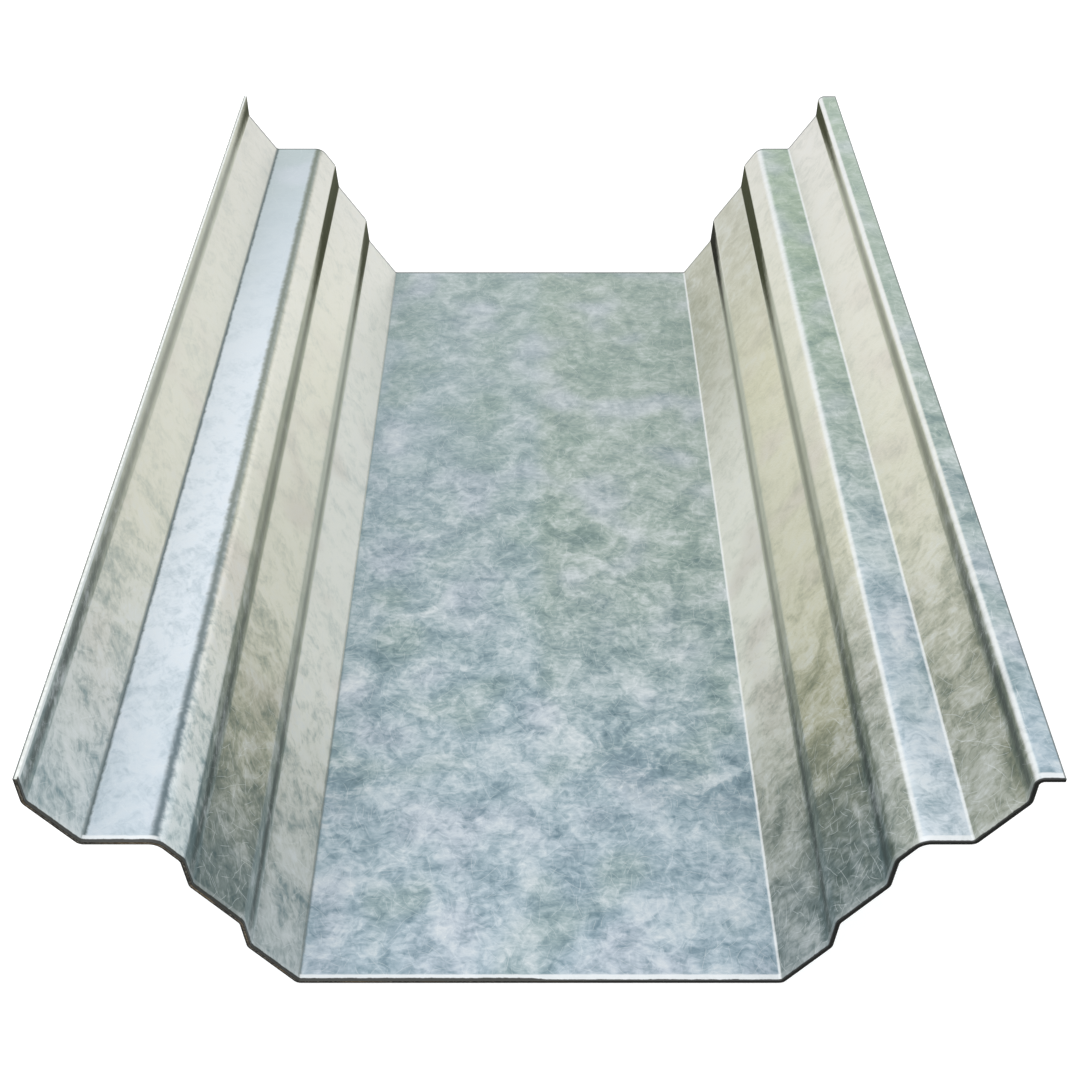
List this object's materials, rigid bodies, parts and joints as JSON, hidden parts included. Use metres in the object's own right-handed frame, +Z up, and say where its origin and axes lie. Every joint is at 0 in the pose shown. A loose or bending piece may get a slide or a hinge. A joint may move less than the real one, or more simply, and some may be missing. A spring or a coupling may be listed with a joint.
{
  "type": "trapezoidal roofing sheet",
  "caption": "Deep trapezoidal trough sheet in galvanised steel: wide flat pan, stepped sloping webs with level ledges, a bare lip on the left and a short lap flange on the right.",
  "frame": {"origin": "middle of the box, on the underside of the pan, which is the floor that the sheet lies on", "axes": "+Y along the trough, +Z up out of the open trough, +X towards the edge with the lap flange; seen from -Y the bare lip is on the left"},
  "size_m": [0.6208, 0.92, 0.2155],
  "materials": {
    "galvanised_steel": "hot-dip zinc coating, cloudy spangle with fine rub marks"
  },
  "bodies": {
    "root": {"roofing_sheet": "galvanised_steel"}
  },
  "joints": []
}
